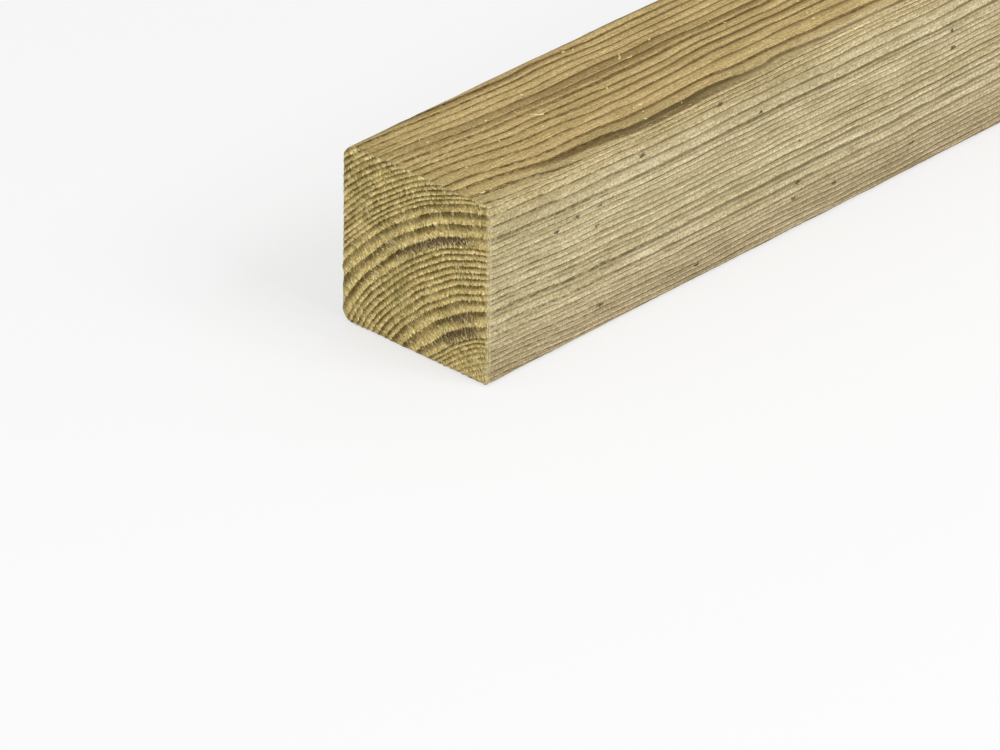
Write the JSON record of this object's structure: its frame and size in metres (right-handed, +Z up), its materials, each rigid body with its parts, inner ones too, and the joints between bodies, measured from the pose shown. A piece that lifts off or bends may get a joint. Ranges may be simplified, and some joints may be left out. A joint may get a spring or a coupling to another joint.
{
  "type": "treated timber support post",
  "caption": "Straight square softwood post, pressure treated, with sawn square ends and eased long arrises.",
  "frame": {"origin": "middle of the resting face, halfway along the post", "axes": "+X along the post from one sawn end to the other, +Y across it, +Z up from the resting face; the two more rounded arrises are on the +Y side"},
  "size_m": [1.8, 0.09, 0.09],
  "materials": {
    "treated_softwood": "sawn and weathered pale, green-brown preservative tint, matt"
  },
  "bodies": {
    "root": {"support_post": "treated_softwood"}
  },
  "joints": []
}
